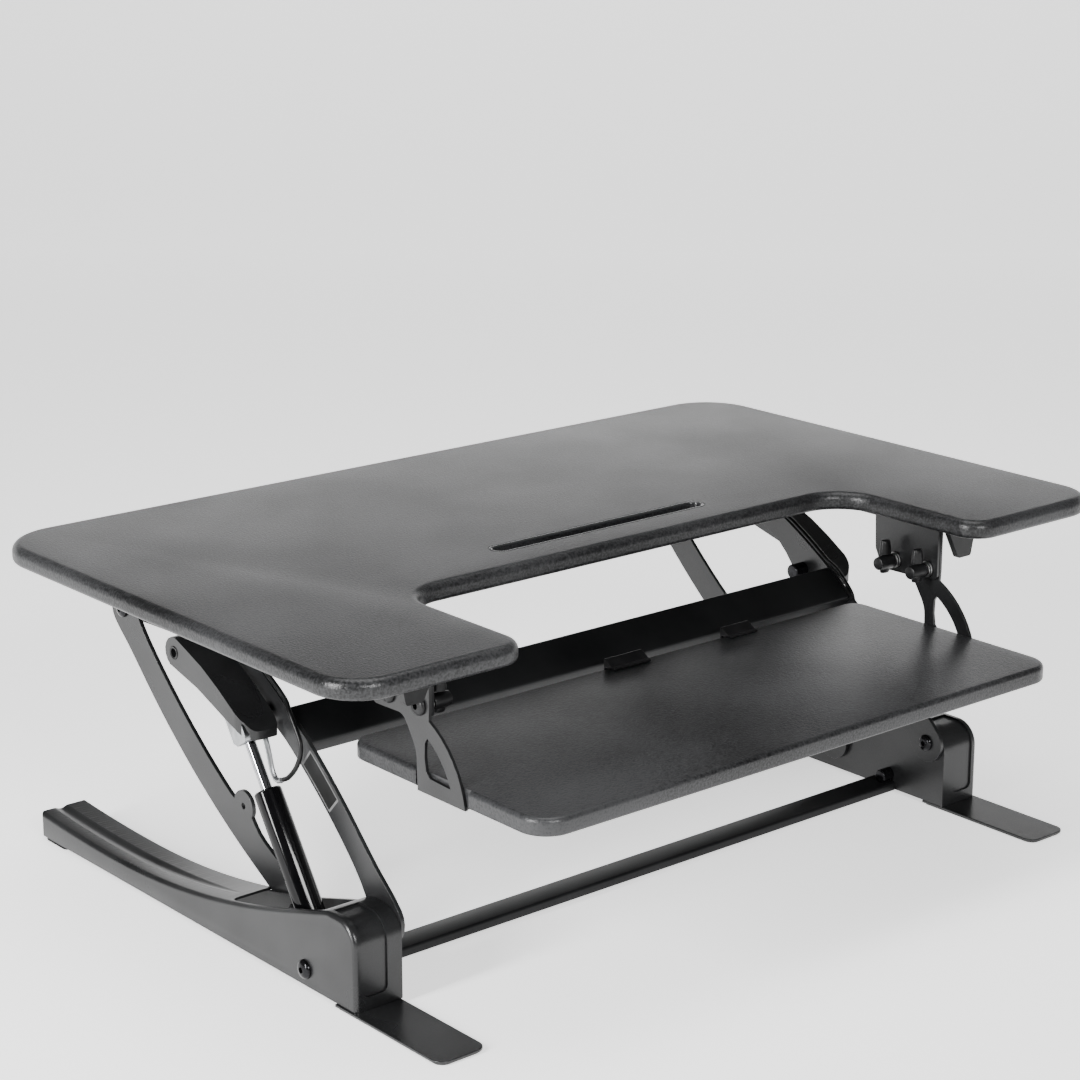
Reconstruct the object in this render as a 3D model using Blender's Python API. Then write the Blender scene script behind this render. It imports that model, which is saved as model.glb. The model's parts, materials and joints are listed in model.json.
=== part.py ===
"""Standing desk converter: a sit-stand riser with a keyboard tray, lifted by two parallel arms on each
side and held by two locking gas springs.

Frame: metres, +X to the user's right, +Y away from the user, +Z up. The origin is on the surface that
the converter stands on, under the middle of its outline. Distances called y below are measured back from
the front faces of the two bases, which lie DATUM in front of the origin.
"""

import math

import bmesh
import bpy
from mathutils import Vector

# ---- driving dimensions -------------------------------------------------------------------------
GAP = 0.0003                     # left between two pieces that touch
SEGMENTS = 24                    # sides of a round piece

TOP_HEIGHT = 0.3310              # work surface above the desk it stands on, at rest
PANEL_THICK = 0.0174
PANEL_HALF_WIDTH = 0.4570        # a 36 inch top
PANEL_FRONT = -0.0891
PANEL_REAR = 0.4698
FRONT_CORNER_R = 0.045
REAR_CORNER_R = 0.060
CUT_HALF_WIDTH = 0.2714          # the bay over the keyboard tray
CUT_REAR = 0.0877
CUT_CORNER_R = 0.042
WING_CORNER_R = 0.027
SLOT_HALF_LENGTH = 0.127         # groove that stands a tablet or phone up
SLOT_Y = 0.1380
SLOT_WIDTH = 0.0160
SLOT_DEPTH = 0.0090

TRAY_HALF_WIDTH = 0.3155
TRAY_FRONT = -0.1545
TRAY_REAR = 0.1060
TRAY_BOTTOM = 0.1873
TRAY_THICK = 0.0160
TRAY_CORNER_R = 0.028
TRAY_REAR_CORNER_R = 0.018

BASE_LENGTH = 0.5206
BASE_OUTER = 0.3898              # |x| of the outer face
BASE_INNER = 0.3405              # |x| of the inner face
BASE_BOTTOM = 0.0045
SKIN = 0.0025                    # sheet of the base shells

FRONT_PIVOT = (0.021, 0.069)     # (y, z) of the front arms' lower pivots
REAR_PIVOT = (0.150, 0.036)      # (y, z) of the rear arms' lower pivots
ARM_LENGTH = 0.3528              # pivot to pivot, the same in front and rear arms
ARM_ANGLE = math.radians(36.9)   # above the horizontal, at rest
ARM_INNER = 0.3360               # |x| of the arm plates' faces
ARM_OUTER = 0.3400

SPRING_X = 0.3650                # |x| of the gas springs' axes
SPRING_FOOT = (0.073, 0.020)     # (y, z) of the gas springs' lower bolts
SPRING_LENGTH = 0.2288           # between the spring's two pivots, at rest
SPRING_ANGLE = math.radians(56.53)
CYLINDER_R = 0.0125
ROD_R = 0.0050

HANDLE_PIVOT = (0.020, 0.3030)   # (y, z) of the release handles' pins

DATUM = (TRAY_FRONT + BASE_LENGTH) / 2
PANEL_BOTTOM = TOP_HEIGHT - PANEL_THICK
TRAY_TOP = TRAY_BOTTOM + TRAY_THICK


def along(start, angle, length):
    """The point at this length and angle from start, in the side view."""
    return (start[0] + length * math.cos(angle), start[1] + length * math.sin(angle))


FRONT_TOP = along(FRONT_PIVOT, ARM_ANGLE, ARM_LENGTH)
REAR_TOP = along(REAR_PIVOT, ARM_ANGLE, ARM_LENGTH)
SPRING_HEAD = along(SPRING_FOOT, SPRING_ANGLE, SPRING_LENGTH)


# ---- materials ----------------------------------------------------------------------------------
def material(name, colour, roughness, metallic):
    made = bpy.data.materials.new(name)
    made.use_nodes = True
    shader = made.node_tree.nodes["Principled BSDF"]
    shader.inputs["Base Color"].default_value = (*colour, 1.0)
    shader.inputs["Roughness"].default_value = roughness
    shader.inputs["Metallic"].default_value = metallic
    made.diffuse_color = (*colour, 1.0)
    return made


def all_materials():
    return {
        "laminate": material("laminate", (0.030, 0.031, 0.033), 0.50, 0.0),
        "steel": material("powder_coated_steel", (0.050, 0.051, 0.053), 0.42, 0.3),
        "fastener": material("black_zinc_fastener", (0.020, 0.020, 0.022), 0.25, 0.9),
        "cylinder": material("gloss_black_cylinder", (0.008, 0.008, 0.009), 0.12, 0.2),
        "chrome": material("chromed_rod", (0.75, 0.76, 0.78), 0.08, 1.0),
        "aluminium": material("cast_aluminium", (0.62, 0.63, 0.64), 0.35, 1.0),
        "rubber": material("rubber", (0.015, 0.015, 0.015), 0.85, 0.0),
        "cable": material("cable_sheath", (0.012, 0.012, 0.012), 0.40, 0.0),
        "plastic": material("black_nylon", (0.018, 0.018, 0.019), 0.45, 0.0),
    }


# ---- outlines -----------------------------------------------------------------------------------
def arc(centre, radius, start_deg, end_deg, steps):
    """Points on an arc, from its start angle to its end angle, both included."""
    angles = [math.radians(start_deg + (end_deg - start_deg) * i / steps) for i in range(steps + 1)]
    return [(centre[0] + radius * math.cos(a), centre[1] + radius * math.sin(a)) for a in angles]


def circle(centre, radius, segments=SEGMENTS):
    return arc(centre, radius, 0, 360 * (segments - 1) / segments, segments - 1)


def stadium(half_length, half_width, centre, steps=8):
    """A slot's outline with round ends, long way along the first axis."""
    run = half_length - half_width
    right = arc((centre[0] + run, centre[1]), half_width, -90, 90, steps)
    left = arc((centre[0] - run, centre[1]), half_width, 90, 270, steps)
    return right + left


def rounded(corners, steps=6):
    """A polygon whose corners (u, v, radius) are replaced by arcs that touch both sides."""
    points = []
    for i, (u, v, radius) in enumerate(corners):
        here = Vector((u, v))
        if radius == 0:
            points.append((u, v))
            continue
        to_last = (Vector(corners[i - 1][:2]) - here).normalized()
        to_next = (Vector(corners[(i + 1) % len(corners)][:2]) - here).normalized()
        half = to_last.angle(to_next) / 2
        centre = here + (to_last + to_next).normalized() * (radius / math.sin(half))
        start = here + to_last * (radius / math.tan(half)) - centre
        end = here + to_next * (radius / math.tan(half)) - centre
        first = math.atan2(start.y, start.x)
        turn = (math.atan2(end.y, end.x) - first + math.pi) % (2 * math.pi) - math.pi
        for k in range(steps + 1):
            angle = first + turn * k / steps
            points.append((centre.x + radius * math.cos(angle), centre.y + radius * math.sin(angle)))
    return points


def sharp(points):
    """The same points as corners without rounding, for use in a list for rounded."""
    return [(u, v, 0) for u, v in points]


# ---- solids -------------------------------------------------------------------------------------
class Body:
    """A rigid group of pieces, carried by an empty on the axis that the group turns about."""

    def __init__(self, name, y=0.0, z=0.0, x=0.0, parent=None):
        self.at = Vector((x, y, z))
        self.empty = bpy.data.objects.new(name, None)
        self.empty.empty_display_size = 0.02
        bpy.context.scene.collection.objects.link(self.empty)
        self.empty.parent = parent.empty if parent else None
        self.empty.location = self.at - parent.at if parent else self.at

    def add(self, name, shape, look=None, smooth=False):
        """Turns a bmesh drawn in the side view's frame into an object of this group."""
        bmesh.ops.recalc_face_normals(shape, faces=shape.faces)
        mesh = bpy.data.meshes.new(name)
        bmesh.ops.translate(shape, verts=shape.verts, vec=-self.at)
        shape.to_mesh(mesh)
        shape.free()
        if smooth:
            mesh.shade_smooth()
            mesh.set_sharp_from_angle(angle=math.radians(35))
        if look:
            mesh.materials.append(look)
        made = bpy.data.objects.new(name, mesh)
        bpy.context.scene.collection.objects.link(made)
        made.parent = self.empty
        return made

    def cut(self, target, shape, operation="DIFFERENCE"):
        """Cuts, joins or trims target with a bmesh; the cutter stays in the file, hidden from renders."""
        tool = self.add(f"{target.name}_cutter", shape)
        tool.hide_render = True
        tool.display_type = "WIRE"
        step = target.modifiers.new(operation.lower(), "BOOLEAN")
        step.operation = operation
        step.object = tool


def loft(sections):
    """Skins a closed solid over sections, each a list of 3D points of the same count."""
    shape = bmesh.new()
    rings = [[shape.verts.new(p) for p in section] for section in sections]
    count = len(rings[0])
    for low, high in zip(rings, rings[1:]):
        for i in range(count):
            j = (i + 1) % count
            shape.faces.new((low[i], low[j], high[j], high[i]))
    shape.faces.new(list(reversed(rings[0])))
    shape.faces.new(rings[-1])
    return shape


def prism_x(outline, x_a, x_b):
    """An outline in (y, z), drawn out along X."""
    return loft([[(x, y, z) for y, z in outline] for x in sorted((x_a, x_b))])


def prism_z(outline, low, high):
    """An outline in (x, y), drawn out along Z."""
    return loft([[(x, y, z) for x, y in outline] for z in (low, high)])


def box(x_a, x_b, y_a, y_b, z_a, z_b):
    return prism_z([(x_a, y_a), (x_b, y_a), (x_b, y_b), (x_a, y_b)], z_a, z_b)


def turned_x(centre, profile, side, segments=SEGMENTS):
    """A turned piece with its axis along X: profile is a list of (|x|, radius)."""
    return loft([[(side * x, y, z) for y, z in circle(centre, r, segments)] for x, r in profile])


def turned_along(start, angle, x, profile, segments=SEGMENTS):
    """A turned piece whose axis leaves start at this angle in the side view: (distance, radius)."""
    axis = Vector((0, math.cos(angle), math.sin(angle)))
    across = Vector((0, -axis.z, axis.y))
    origin = Vector((x, *start))
    rings = []
    for distance, radius in profile:
        ring = [origin + axis * distance + Vector((u, 0, 0)) + across * v
                for u, v in circle((0, 0), radius, segments)]
        rings.append(ring)
    return loft(rings)


def edge_rounded_panel(outline_at, low, high, radius_low, radius_high, steps=4):
    """A board whose edge is rounded over: outline_at(inset) gives its plan, drawn in by the inset."""
    sections = []
    for radius, base, sign in ((radius_low, low + radius_low, -1), (radius_high, high - radius_high, 1)):
        part = []
        for k in range(steps + 1):
            angle = math.radians(90 * k / steps)
            inset = radius * (1 - math.cos(angle))
            part.append([(x, y, base + sign * radius * math.sin(angle)) for x, y in outline_at(inset)])
        sections += part if sign > 0 else part[::-1]
    return loft(sections)


# ---- bases --------------------------------------------------------------------------------------
VALLEY_Y = 0.385                 # where the base's top edge is lowest
VALLEY_Z = 0.0237
SWEEP_R = 0.960                  # of the top edge's long hollow curve
SWEEP_END = 0.090                # where the curve runs out into a straight slope
TAIL_R = 1.900                   # of the slight lift at the rear end
CROWN_Y = 0.040
CROWN_Z = 0.0840
NOSE_R = 0.024                   # the rounded front top corner


def base_top(y):
    """Height of the base's top edge at this distance back."""
    if y > VALLEY_Y:
        return VALLEY_Z + (y - VALLEY_Y) ** 2 / (2 * TAIL_R)
    return VALLEY_Z + (VALLEY_Y - max(y, SWEEP_END)) ** 2 / (2 * SWEEP_R)


def base_profile(inset, bottom, front, rear):
    """Side view of the base, drawn in by inset under its top edge."""
    top = [(CROWN_Y, CROWN_Z - inset)]
    stations = 14
    for i in range(stations + 1):
        y = SWEEP_END + (rear - SWEEP_END) * i / stations
        top.append((y, base_top(y) - inset))
    radius = NOSE_R - inset
    nose = arc((front + radius, CROWN_Z - inset - radius), radius, 180, 90, 6)
    return [(front, bottom)] + nose + top + [(rear, bottom)]


WELL_FRONT = 0.050               # the opening that the gas spring swings in
WELL_REAR = 0.195


def base_side(base, look, side, name):
    """One base: a formed shell, its inner plate, the foot plate, the pads and the bolts."""
    steel = look["steel"]
    shell = base.add(f"base_shell_{name}",
                     prism_x(base_profile(0, BASE_BOTTOM, 0, BASE_LENGTH), side * BASE_INNER,
                             side * BASE_OUTER), steel)
    hollow = base_profile(SKIN, BASE_BOTTOM - 0.02, SKIN, BASE_LENGTH - SKIN)
    base.cut(shell, prism_x(hollow, side * (BASE_INNER - 0.01), side * (BASE_OUTER - SKIN)))
    base.cut(shell, box(side * (BASE_INNER - 0.01), side * (BASE_OUTER - 0.0048), WELL_FRONT, WELL_REAR,
                        0.030, 0.100))
    base.cut(shell, prism_x(circle(SPRING_FOOT, 0.0055), side * (BASE_OUTER - 0.01),
                            side * (BASE_OUTER + 0.01)))

    plate_in = BASE_INNER + GAP
    plate_out = plate_in + 0.003
    plate = base.add(f"inner_plate_{name}",
                     prism_x(base_profile(SKIN + GAP, BASE_BOTTOM + GAP, SKIN + GAP,
                                          BASE_LENGTH - SKIN - GAP),
                             side * plate_in, side * plate_out), steel)
    for centre in (FRONT_PIVOT, REAR_PIVOT, SPRING_FOOT):
        base.cut(plate, prism_x(circle(centre, 0.0043), side * 0.33, side * 0.36))

    foot = rounded([(side * 0.3415, 0.028, 0), (side * 0.3915, 0.028, 0),
                    (side * 0.3915, -0.117, 0.011), (side * 0.3415, -0.117, 0.011)])
    base.add(f"foot_plate_{name}", prism_z(foot, 0.0015, 0.0042), steel)
    pad = rounded([(side * 0.3435, 0.024, 0), (side * 0.3895, 0.024, 0),
                   (side * 0.3895, -0.115, 0.009), (side * 0.3435, -0.115, 0.009)])
    base.add(f"front_pad_{name}", prism_z(pad, 0, 0.0015 - GAP), look["rubber"])
    pad = rounded([(side * 0.3445, 0.478, 0.006), (side * 0.3875, 0.478, 0.006),
                   (side * 0.3875, 0.5186, 0.006), (side * 0.3445, 0.5186, 0.006)])
    base.add(f"rear_pad_{name}", prism_z(pad, 0, BASE_BOTTOM - GAP), look["rubber"])

    for label, centre in (("front", FRONT_PIVOT), ("rear", REAR_PIVOT)):
        pivot_bolt(base, f"{label}_pivot_bolt_{name}", centre, side, look["fastener"],
                   head=ARM_INNER - GAP, head_out=False, far=plate_out + GAP)

    head = [(0.3712, 0.0040), (BASE_OUTER + GAP, 0.0040), (BASE_OUTER + GAP, 0.0088),
            (BASE_OUTER + 0.0018, 0.0086), (BASE_OUTER + 0.0046, 0.0048)]
    base.add(f"spring_bolt_{name}", turned_x(SPRING_FOOT, head, side), look["fastener"], True)
    nut = [(0.3588, 0.0040), (plate_in - GAP, 0.0040), (plate_in - GAP, 0.0068), (0.3268, 0.0068),
           (0.3268, 0.0062), (0.3262, 0.0060)]
    base.add(f"spring_nut_{name}", turned_x(SPRING_FOOT, nut, side), look["fastener"], True)


def pivot_bolt(body, label, centre, side, look, head, head_out, far):
    """A shoulder bolt with a button head at |x| = head and a nut that starts at |x| = far."""
    out = 1 if head_out else -1
    profile = [(head + out * 0.0042, 0.0045), (head + out * 0.0022, 0.0080), (head, 0.0084),
               (head, 0.0040), (far, 0.0040), (far, 0.0068), (far - out * 0.0050, 0.0068)]
    body.add(label, turned_x(centre, profile, side), look, True)


def crossbeam_low(base, look):
    """The flat channel that ties the two bases together near their front."""
    front, rear, top, wall = 0.064, 0.094, 0.0130, 0.0022
    outline = rounded([(front, BASE_BOTTOM, 0), (front, top, 0.0025), (rear, top, 0.0025),
                       (rear, BASE_BOTTOM, 0), (rear - wall, BASE_BOTTOM, 0), (rear - wall, top - wall, 0),
                       (front + wall, top - wall, 0), (front + wall, BASE_BOTTOM, 0)], steps=3)
    base.add("lower_crossbeam", prism_x(outline, -BASE_INNER, BASE_INNER), look["steel"])


# ---- lift arms ----------------------------------------------------------------------------------
def arm_point(pivot, t, bow, offset):
    """A point beside an arm's centre line: t runs from 0 at the lower pivot to 1 at the upper one.

    The centre line is bowed off the straight line between the pivots by bow at its middle, and offset is
    measured from it towards the upper side."""
    height = bow * (1 - (2 * t - 1) ** 2)
    slope = math.atan(bow * 4 * (1 - 2 * t) / ARM_LENGTH)
    y, z = along(pivot, ARM_ANGLE, t * ARM_LENGTH)
    y, z = along((y, z), ARM_ANGLE + math.pi / 2, height)
    return along((y, z), ARM_ANGLE + slope + math.pi / 2, offset)


def bump(t, middle, spread):
    return math.exp(-((t - middle) / spread) ** 2)


def arm_outline(pivot, bow, upper, lower, low_r, high_r, steps=26):
    """An arm plate's outline, from the widths upper(t) and lower(t) and round ends about both pivots."""
    ts = [i / steps for i in range(1, steps)]
    top_side = [arm_point(pivot, t, bow, upper(t)) for t in ts]
    low_side = [arm_point(pivot, t, bow, -lower(t)) for t in ts]
    tilt = math.degrees(ARM_ANGLE)
    end_tilt = math.degrees(math.atan(4 * bow / ARM_LENGTH))
    low_end = arc(pivot, low_r, tilt + end_tilt + 270, tilt + end_tilt + 90, 10)
    top = along(pivot, ARM_ANGLE, ARM_LENGTH)
    high_end = arc(top, high_r, tilt - end_tilt + 90, tilt - end_tilt - 90, 10)
    return low_end + top_side + high_end + low_side[::-1]


FRONT_BOW = 0.023
FRONT_HALF = 0.0130
REAR_BOW = -0.020
REAR_HALF = 0.0160
END_R = 0.0200                   # round ends about the pivots
EAR_CENTRE = arm_point(REAR_PIVOT, 0.313, REAR_BOW, REAR_HALF + 0.0060)
EAR_R = 0.0150


def flare(t, half):
    """An arm's half width, widening smoothly into its round ends."""
    return half + (END_R - half) * (bump(t, 0, 0.09) + bump(t, 1, 0.07))


def front_arm(body, look, side, name):
    outline = arm_outline(
        FRONT_PIVOT, FRONT_BOW, lambda t: flare(t, FRONT_HALF),
        lambda t: flare(t, FRONT_HALF) + 0.0105 * bump(t, 0.670, 0.065), END_R, END_R)
    arm = body.add(f"front_arm_{name}", prism_x(outline, side * ARM_INNER, side * ARM_OUTER),
                   look["steel"])
    for centre in (FRONT_PIVOT, FRONT_TOP, SPRING_HEAD):
        body.cut(arm, prism_x(circle(centre, 0.0043), side * 0.33, side * 0.35))


def rear_arm(body, look, side, name):
    outline = arm_outline(
        REAR_PIVOT, REAR_BOW, lambda t: flare(t, REAR_HALF) + 0.0075 * bump(t, 0.290, 0.045),
        lambda t: flare(t, REAR_HALF), END_R, END_R, steps=40)
    arm = body.add(f"rear_arm_{name}", prism_x(outline, side * ARM_INNER, side * ARM_OUTER),
                   look["steel"])
    body.cut(arm, prism_x(circle(EAR_CENTRE, EAR_R), side * ARM_INNER, side * ARM_OUTER), "UNION")
    for centre, radius in ((REAR_PIVOT, 0.0043), (REAR_TOP, 0.0043), (EAR_CENTRE, 0.0030)):
        body.cut(arm, prism_x(circle(centre, radius), side * 0.33, side * 0.35))


def crossbeam_high(body, look):
    """The folded channel that joins the front arms, flush with their upper edges."""
    wall, flange = 0.0022, 0.0165
    rear, front = arm_point(FRONT_PIVOT, 0.585, FRONT_BOW, FRONT_HALF), \
        arm_point(FRONT_PIVOT, 0.468, FRONT_BOW, FRONT_HALF)
    tilt = math.atan2(rear[1] - front[1], rear[0] - front[0])
    width = math.dist(front, rear)
    section = rounded([(0, -flange, 0), (0, 0, 0.003), (width, 0, 0.003), (width, -flange, 0),
                       (width - wall, -flange, 0), (width - wall, -wall, 0.001), (wall, -wall, 0.001),
                       (wall, -flange, 0)], steps=3)
    outline = [along(along(front, tilt, u), tilt + math.pi / 2, v) for u, v in section]
    body.add("upper_crossbeam", prism_x(outline, -ARM_INNER + GAP, ARM_INNER - GAP), look["steel"])


BRACKET_IN = 0.3460              # |x| of the spring bracket's two sides
BRACKET_OUT = 0.3820
BRACKET_HOLE = (0.277, 0.252)


def bracket_side(inset, droop):
    """Side view of the spring bracket: inset from its edge, and open below by droop."""
    end = arc(BRACKET_HOLE, 0.0145 - inset, -60, 118, 8)
    return [(0.168 + inset, 0.196 - droop), (0.183, 0.206 - droop), (0.196, 0.2105 - droop),
            (0.241, 0.228 - droop)] + [(y, z - (droop if z < BRACKET_HOLE[1] else 0)) for y, z in end] + \
        [(0.233, 0.250 - inset), (0.208, 0.2365 - inset), (0.184, 0.2215 - inset),
         (0.1735, 0.213 - inset), (0.168 + inset, 0.204 - inset)]


def bracket_plan(side, inset):
    """Plan of the spring bracket: its outer front corner is well rounded."""
    front, rear = 0.168 + inset, 0.300
    return rounded([(side * (BRACKET_IN + inset), front, 0.003), (side * (BRACKET_OUT - inset), front, 0.016),
                    (side * (BRACKET_OUT - inset), rear, 0), (side * (BRACKET_IN + inset), rear, 0)])


def spring_bracket(body, look, side, name):
    """The pressed channel on the front arm's outer side, which the gas spring pushes up."""
    wall = 0.0025
    bracket = body.add(f"spring_bracket_{name}",
                       prism_x(bracket_side(0, 0), side * BRACKET_IN, side * BRACKET_OUT), look["steel"])
    body.cut(bracket, prism_z(bracket_plan(side, 0), 0.15, 0.30), "INTERSECT")
    hollow = prism_x(bracket_side(wall, 0.030), side * (BRACKET_IN + wall), side * (BRACKET_OUT - wall))
    body.cut(bracket, hollow)
    body.cut(bracket, prism_x(circle(BRACKET_HOLE, 0.0063), side * 0.34, side * 0.39))
    lobe = prism_x(circle(SPRING_HEAD, 0.0105), side * BRACKET_IN, side * (BRACKET_IN + wall))
    body.cut(bracket, lobe, "UNION")
    body.cut(bracket, prism_x(circle(SPRING_HEAD, 0.0043), side * 0.34, side * 0.35))


def spring_pin(body, look, side, name):
    """The pin through the arm, the bracket's inner side and the spring head, with a boss inside."""
    profile = [(0.3195, 0.0065), (0.3203, 0.0078), (ARM_INNER - GAP, 0.0078), (ARM_INNER - GAP, 0.0040),
               (0.3738, 0.0040), (0.3738, 0.0062), (0.3760, 0.0058)]
    body.add(f"spring_pin_{name}", turned_x(SPRING_HEAD, profile, side), look["fastener"], True)


# ---- release cables -----------------------------------------------------------------------------
CABLE_R = 0.0022


def smooth_route(points, spacing):
    """Evenly spaced points on a smooth curve through the route's own points."""
    points = [Vector(p) for p in points]
    padded = [2 * points[0] - points[1]] + points + [2 * points[-1] - points[-2]]
    fine = []
    for a, b, c, d in zip(padded, padded[1:], padded[2:], padded[3:]):
        for k in range(12):
            t = k / 12
            fine.append(0.5 * (2 * b + (c - a) * t + (2 * a - 5 * b + 4 * c - d) * t * t
                               + (3 * b - a - 3 * c + d) * t ** 3))
    fine.append(points[-1])
    total = sum((q - p).length for p, q in zip(fine, fine[1:]))
    count = max(2, round(total / spacing))
    made, walked, goal = [fine[0]], 0.0, total / count
    for p, q in zip(fine, fine[1:]):
        step = (q - p).length
        while step > 0 and walked + step >= goal * len(made) - 1e-9 and len(made) < count:
            made.append(p.lerp(q, (goal * len(made) - walked) / step))
        walked += step
    return made + [fine[-1]]


def cable(body, label, route, look):
    """A plain tube along a smooth route, as a bevelled curve with filled ends."""
    curve = bpy.data.curves.new(label, "CURVE")
    curve.dimensions = "3D"
    curve.bevel_depth = CABLE_R
    curve.bevel_resolution = 2
    curve.use_fill_caps = True
    points = smooth_route(route, 0.0090)
    spline = curve.splines.new("POLY")
    spline.points.add(len(points) - 1)
    for target, point in zip(spline.points, points):
        target.co = (*(point - body.at), 1.0)
    curve.materials.append(look)
    made = bpy.data.objects.new(label, curve)
    bpy.context.scene.collection.objects.link(made)
    made.parent = body.empty


def lower_cable_route(side):
    """From the release head's guide tube, in a loop to the front arm, then up along its edge."""
    loop = [(0.3490, 0.1580, 0.1582), (0.3485, 0.1510, 0.1620), (0.3475, 0.1410, 0.1730),
            (0.3460, 0.1362, 0.1850), (0.3448, 0.1365, 0.1950), (0.3440, 0.1415, 0.2030)]
    edge = [(0.3420, *arm_point(FRONT_PIVOT, 0.560, FRONT_BOW, FRONT_HALF + 0.0030))]
    for t, gap in ((0.60, 0.0036), (0.68, 0.0036), (0.76, 0.0036), (0.83, 0.0038)):
        edge.append((0.3385, *arm_point(FRONT_PIVOT, t, FRONT_BOW, flare(t, FRONT_HALF) + gap)))
    return [(side * x, y, z) for x, y, z in loop + edge]


def upper_cable_route(side):
    """From above the front arm's upper pivot, forward under the panel to the release handle."""
    points = [(0.3300, 0.2340, 0.3075), (0.3280, 0.2200, 0.3088), (0.3265, 0.1900, 0.3095),
              (0.3265, 0.1300, 0.3095), (0.3285, 0.0850, 0.3085),
              (0.3330, 0.0600, 0.3060), (0.3365, 0.0440, 0.3035)]
    return [(side * x, y, z) for x, y, z in points]


# ---- gas springs --------------------------------------------------------------------------------
CYLINDER_TOP = 0.158             # distances from the lower bolt, along the spring
ROD_FOOT = 0.098
HEAD_FOOT = 0.203
GUIDE_X = 0.3490                 # |x| of the tube that leads the release cable into the head
GUIDE_R = 0.0026


def spring_rod(body, look, side, name):
    profile = [(ROD_FOOT, ROD_R - 0.001), (ROD_FOOT + 0.001, ROD_R), (HEAD_FOOT - GAP, ROD_R)]
    body.add(f"spring_rod_{name}",
             turned_along(SPRING_FOOT, SPRING_ANGLE, side * SPRING_X, profile), look["chrome"], True)


def release_head(body, look, side, name):
    """The cast head on the rod: it holds the release lever and the cable's curved guide tube."""
    def at(distance, offset):
        return along(along(SPRING_FOOT, SPRING_ANGLE, distance), SPRING_ANGLE + math.pi / 2, offset)

    corners = [(*at(HEAD_FOOT, 0.0065), 0.002), (*at(HEAD_FOOT + 0.0060, 0.0090), 0.003),
               (*at(SPRING_LENGTH + 0.0020, 0.0105), 0.005), (*at(SPRING_LENGTH + 0.0105, 0.0040), 0.004),
               (*at(SPRING_LENGTH + 0.0105, -0.0110), 0.006), (*at(SPRING_LENGTH + 0.0050, -0.0200), 0.004),
               (*at(HEAD_FOOT + 0.0150, -0.0195), 0.003), (*at(HEAD_FOOT + 0.0050, -0.0140), 0.004),
               (*at(HEAD_FOOT, -0.0080), 0.001)]
    head = body.add(f"release_head_{name}",
                    prism_x(rounded(corners, 3), side * (SPRING_X - 0.0085), side * (SPRING_X + 0.0085)),
                    look["aluminium"])
    body.cut(head, prism_x(circle(SPRING_HEAD, 0.0043), side * 0.35, side * 0.38))
    lug = arc(at(HEAD_FOOT + 0.0080, 0), 0.0045, 0, 330, 11)
    body.cut(head, prism_x(lug, side * (GUIDE_X - 0.0030), side * (SPRING_X - 0.0080)), "UNION")
    guide = [at(HEAD_FOOT + 0.0080, 0), at(HEAD_FOOT - 0.0020, 0), at(HEAD_FOOT - 0.0150, -0.0030),
             at(HEAD_FOOT - 0.0280, -0.0070), (0.1690, 0.1545), (0.1610, 0.1565)]
    route = smooth_route([(GUIDE_X, *p) for p in guide], 0.005)
    rings = []
    for i, here in enumerate(route):
        ahead = (route[min(i + 1, len(route) - 1)] - route[max(i - 1, 0)]).normalized()
        across = ahead.cross(Vector((1, 0, 0))).normalized()
        beside = across.cross(ahead)
        rings.append([Vector((side * p.x, p.y, p.z)) for p in
                      (here + across * u + beside * v for u, v in circle((0, 0), GUIDE_R, 10))])
    body.cut(head, loft(rings), "UNION")


def spring_cylinder(body, look, side, name):
    """The pressure tube, open at the top for the rod, with its flat lower eye."""
    clear = ROD_R + GAP
    profile = [(0.0060, 0.0060), (0.0150, 0.0060), (0.0170, CYLINDER_R - 0.001), (0.0185, CYLINDER_R),
               (CYLINDER_TOP - 0.0015, CYLINDER_R), (CYLINDER_TOP, CYLINDER_R - 0.0015),
               (CYLINDER_TOP, clear), (0.0550, clear)]
    tube = body.add(f"spring_cylinder_{name}",
                    turned_along(SPRING_FOOT, SPRING_ANGLE, side * SPRING_X, profile, 32),
                    look["cylinder"], True)
    eye = prism_x(circle(SPRING_FOOT, 0.0090), side * (SPRING_X - 0.0048), side * (SPRING_X + 0.0048))
    body.cut(tube, eye, "UNION")
    body.cut(tube, prism_x(circle(SPRING_FOOT, 0.0042, 16), side * 0.35, side * 0.38))


# ---- top panel and its hardware -----------------------------------------------------------------
def panel_plan(inset):
    """Plan of the top with its keyboard bay, drawn in by inset all round."""
    wide, bay = PANEL_HALF_WIDTH - inset, CUT_HALF_WIDTH + inset
    front, rear, back = PANEL_FRONT + inset, PANEL_REAR - inset, CUT_REAR + inset
    corner, wing = FRONT_CORNER_R - inset, WING_CORNER_R - inset
    inner, far = CUT_CORNER_R + inset, REAR_CORNER_R - inset
    return rounded([(-wide, front, corner), (-bay, front, wing), (-bay, back, inner), (bay, back, inner),
                    (bay, front, wing), (wide, front, corner), (wide, rear, far), (-wide, rear, far)], 8)


def top_panel(body, look):
    panel = body.add("desktop_panel",
                     edge_rounded_panel(panel_plan, PANEL_BOTTOM, TOP_HEIGHT, 0.0045, 0.0080),
                     look["laminate"], True)
    slot = stadium(SLOT_HALF_LENGTH, SLOT_WIDTH / 2, (0, SLOT_Y))
    body.cut(panel, prism_z(slot, TOP_HEIGHT - SLOT_DEPTH, TOP_HEIGHT + 0.01))


PLATE_TOP = PANEL_BOTTOM - GAP   # where hardware meets the panel's underside


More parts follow.
